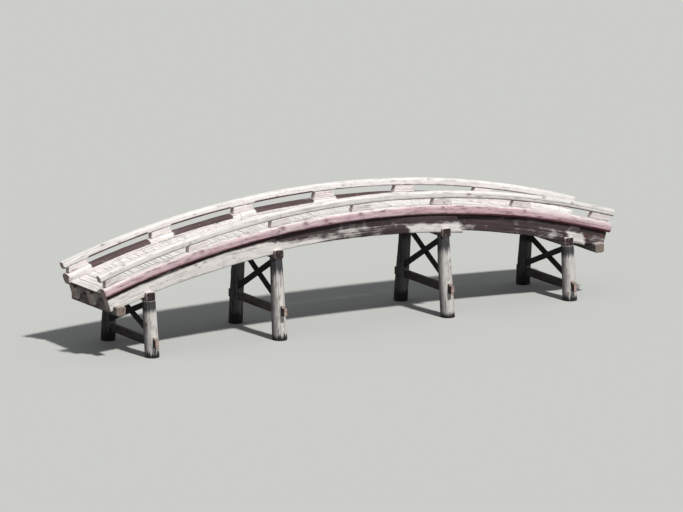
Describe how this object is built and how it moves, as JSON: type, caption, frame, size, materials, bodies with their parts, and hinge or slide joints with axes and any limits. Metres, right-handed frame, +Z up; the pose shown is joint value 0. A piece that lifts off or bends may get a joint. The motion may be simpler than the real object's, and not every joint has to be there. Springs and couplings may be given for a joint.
{
  "type": "moon bridge",
  "caption": "Arched timber garden bridge with low rails on blocks, carried by girders on braced log trestles.",
  "frame": {"origin": "centre of the bridge on plan, at the level of the post feet", "axes": "+X along the bridge, +Y across it to the far side of the picture, +Z up"},
  "size_m": [14.0078, 2.54, 3.0948],
  "materials": {
    "post_logs": "weathered round logs, pale on the lit side, dark and damp at the foot",
    "cap_timber": "weathered squared log with dark end grain",
    "tie_timber": "dark weathered timber",
    "wedge_timber": "pale split wedges",
    "brace_timber": "dark weathered timber",
    "girder_timber": "weathered squared logs",
    "deck_boards": "sun-bleached boards",
    "edge_timber": "weathered squared logs, bleached on top and rosy grey on the side",
    "rail_timber": "sun-bleached squared logs",
    "block_timber": "sun-bleached blocks",
    "sill_timber": "weathered squared log"
  },
  "bodies": {
    "root": {"post_1_near": "post_logs", "post_1_far": "post_logs", "post_2_near": "post_logs", "post_2_far": "post_logs", "post_3_near": "post_logs", "post_3_far": "post_logs", "post_4_near": "post_logs", "post_4_far": "post_logs", "cap_beam_1": "cap_timber", "cap_beam_2": "cap_timber", "cap_beam_3": "cap_timber", "cap_beam_4": "cap_timber", "tie_beam_1": "tie_timber", "tie_beam_2": "tie_timber", "tie_beam_3": "tie_timber", "tie_beam_4": "tie_timber", "tie_wedges": "wedge_timber", "braces_1": "brace_timber", "braces_2": "brace_timber", "braces_3": "brace_timber", "braces_4": "brace_timber", "girders_1": "girder_timber", "girders_2": "girder_timber", "girders_3": "girder_timber", "girders_4": "girder_timber", "girders_5": "girder_timber", "deck_1": "deck_boards", "deck_2": "deck_boards", "deck_3": "deck_boards", "deck_4": "deck_boards", "deck_5": "deck_boards", "edge_log_near_1": "edge_timber", "edge_log_near_2": "edge_timber", "edge_log_near_3": "edge_timber", "edge_log_far_1": "edge_timber", "edge_log_far_2": "edge_timber", "edge_log_far_3": "edge_timber", "rail_near_1": "rail_timber", "rail_near_2": "rail_timber", "rail_near_3": "rail_timber", "rail_far_1": "rail_timber", "rail_far_2": "rail_timber", "rail_far_3": "rail_timber", "rail_blocks_near": "block_timber", "rail_blocks_far": "block_timber", "bank_sill_left": "sill_timber", "bank_sill_right": "sill_timber"}
  },
  "joints": []
}
